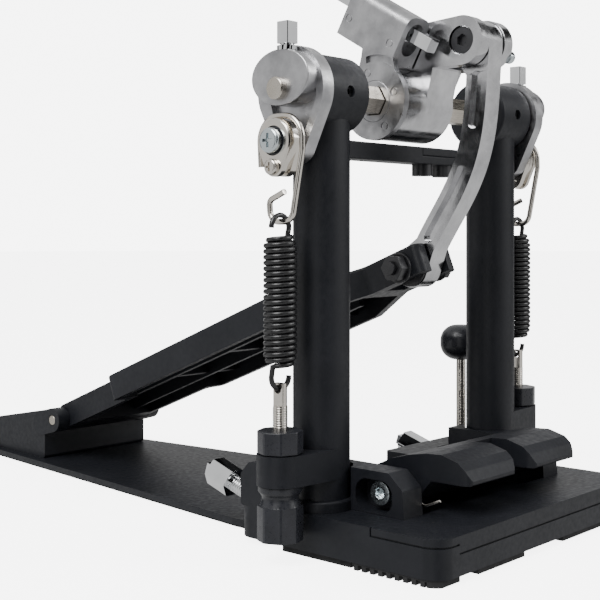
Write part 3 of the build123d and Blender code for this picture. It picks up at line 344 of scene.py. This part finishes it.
def wind_springs():
    """Each spring as a wound wire, in place of the CAD spring and its hook."""
    for side, sign in SIDES:
        x = sign * SPRING_X
        place = [Vector(((p.x + x) * MM, p.y * MM, p.z * MM)) for p in spring_line()]
        coil = swept("coil_" + side, place, WIRE_R * MM, "spring_black", 8)
        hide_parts("spring_" + side, "spring_hook_" + side)
        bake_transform(coil)


CREST_SINK = 0.02          # a crest's line, inside the shank's surface
CREST_R = 0.27             # a crest's wire, as a share of the pitch
THREAD_STEPS = 18
ROD_R, ROD_PITCH = 3.0, 1.0
ROD_THREADS = (("rod_thread_", 57.0, 65.6), ("rod_tail_", 13.0, 32.0))
SPUR_R, SPUR_PITCH = 3.5, 1.25
SPUR_X, SPUR_Y, SPUR_TURN = 72.0, -14.0, 72.0
SPUR_TIP_Z = {"right": 12.4, "left": 6.5}
CLAMP_X, CLAMP_Y = -77.5, -26.5
CLAMP_R, CLAMP_PITCH = 2.5, 0.8


def cut_thread(name, body, place, radius, low, high, pitch, slot):
    """The crests of a thread, wound on a plain shank along the placed local +Z."""
    line = helix((radius - CREST_SINK) * MM, low * MM, high * MM, (high - low) / pitch, THREAD_STEPS)
    crest = swept(name, [place @ p for p in line], CREST_R * MM * pitch, slot, 6)
    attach(crest, body)


def cut_threads():
    """Threads that can be seen on the tension rods, the clamp screw and the spurs."""
    for side, sign in SIDES:
        rod = Matrix.Translation((sign * SPRING_X * MM, 0, 0))
        for name, low, high in ROD_THREADS:
            cut_thread(name + side, "frame", rod, ROD_R, low, high, ROD_PITCH, "nickel")
        tip = Matrix.Translation((sign * SPUR_X * MM, SPUR_Y * MM, SPUR_TIP_Z[side] * MM))
        spur = tip @ Matrix.Rotation(radians(SPUR_TURN), 4, "X")
        cut_thread("spur_thread_" + side, "spur_" + side, spur, SPUR_R, 5.5, 35.5, SPUR_PITCH, "chrome")
    clamp = Matrix.Translation((CLAMP_X * MM, CLAMP_Y * MM, 0))
    cut_thread("clamp_thread", "clamp", clamp, CLAMP_R, 22.0, 68.0, CLAMP_PITCH, "nickel")


# ---- light and floor ----
BACKDROP_R = 8.0


def area_light(name, place, aim, size, power, color=(1, 1, 1)):
    data = bpy.data.lights.new(name, "AREA")
    data.shape = "RECTANGLE"
    data.size, data.size_y = size
    data.energy = power
    data.color = color
    light = bpy.data.objects.new(name, data)
    light.location = place
    light.rotation_euler = (Vector(aim) - Vector(place)).to_track_quat("-Z", "Y").to_euler()
    bpy.context.scene.collection.objects.link(light)


def make_light():
    world = bpy.data.worlds.new("studio")
    world.use_nodes = True
    bpy.context.scene.world = world
    background = world.node_tree.nodes["Background"]
    background.inputs["Color"].default_value = (1.0, 1.0, 1.0, 1.0)
    background.inputs["Strength"].default_value = 0.8
    area_light("key", (0.9, 0.1, 1.1), (0, 0, 0.12), (0.8, 0.8), 18)
    area_light("rim", (-0.7, 0.9, 0.8), (0, 0, 0.12), (0.6, 0.6), 6)


def flat_piece(name, half_wide, half_high):
    """A plain rectangle about the origin."""
    mesh = bpy.data.meshes.new(name)
    corners = [(-half_wide, -half_high, 0), (half_wide, -half_high, 0), (half_wide, half_high, 0),
               (-half_wide, half_high, 0)]
    mesh.from_pydata(corners, [], [(0, 1, 2, 3)])
    piece = bpy.data.objects.new(name, mesh)
    bpy.context.scene.collection.objects.link(piece)
    return piece


def make_flags():
    """Black cards out of view, whose reflections give the polished metal its dark bands."""
    places = (((0.9, 1.1, 0.3), (0.9, 1.6)), ((1.3, -0.2, 0.25), (0.5, 1.2)), ((0.1, 1.5, 0.5), (0.5, 1.4)),
              ((-1.2, 0.3, 0.5), (0.7, 1.2)), ((0.2, -1.5, 0.4), (0.8, 1.0)))
    black = Shader("flag", (0.004, 0.004, 0.004), 1.0, Specular_IOR_Level=0.0).material
    for i, (place, (wide, high)) in enumerate(places):
        card = flat_piece("flag_%d" % i, wide / 2, high / 2)
        card.location = place
        card.rotation_euler = (Vector((0, 0, 0.15)) - Vector(place)).to_track_quat("-Z", "Y").to_euler()
        card.visible_camera = False
        card.visible_shadow = False
        card.data.materials.append(black)


def make_floor():
    floor = flat_piece("floor", BACKDROP_R, BACKDROP_R)
    s = Shader("floor", (0.9, 0.9, 0.9), 0.9, Specular_IOR_Level=0.1, Emission_Strength=5.4)
    s.set("Emission Color", (1.0, 1.0, 1.0, 1.0))
    s.tint(s.noise(3, 3), (0.89, 0.89, 0.89), (0.91, 0.91, 0.91))
    floor.data.materials.append(s.material)
    floor.visible_diffuse = False
    floor.visible_glossy = False


def make_backdrop():
    """White surround that only the camera sees, so that the floor runs into it without a line."""
    mesh = bmesh.new()
    bmesh.ops.create_uvsphere(mesh, u_segments=48, v_segments=24, radius=BACKDROP_R)
    data = bpy.data.meshes.new("backdrop")
    mesh.to_mesh(data)
    mesh.free()
    backdrop = bpy.data.objects.new("backdrop", data)
    backdrop.visible_diffuse = False
    backdrop.visible_glossy = False
    backdrop.visible_shadow = False
    bpy.context.scene.collection.objects.link(backdrop)
    s = Shader("backdrop", (1.0, 1.0, 1.0), 1.0, Specular_IOR_Level=0.0, Emission_Strength=6.0)
    s.set("Emission Color", (1.0, 1.0, 1.0, 1.0))
    data.materials.append(s.material)


make_camera()
dress_nodes()
wind_springs()
cut_threads()
make_light()
make_flags()
make_floor()
make_backdrop()
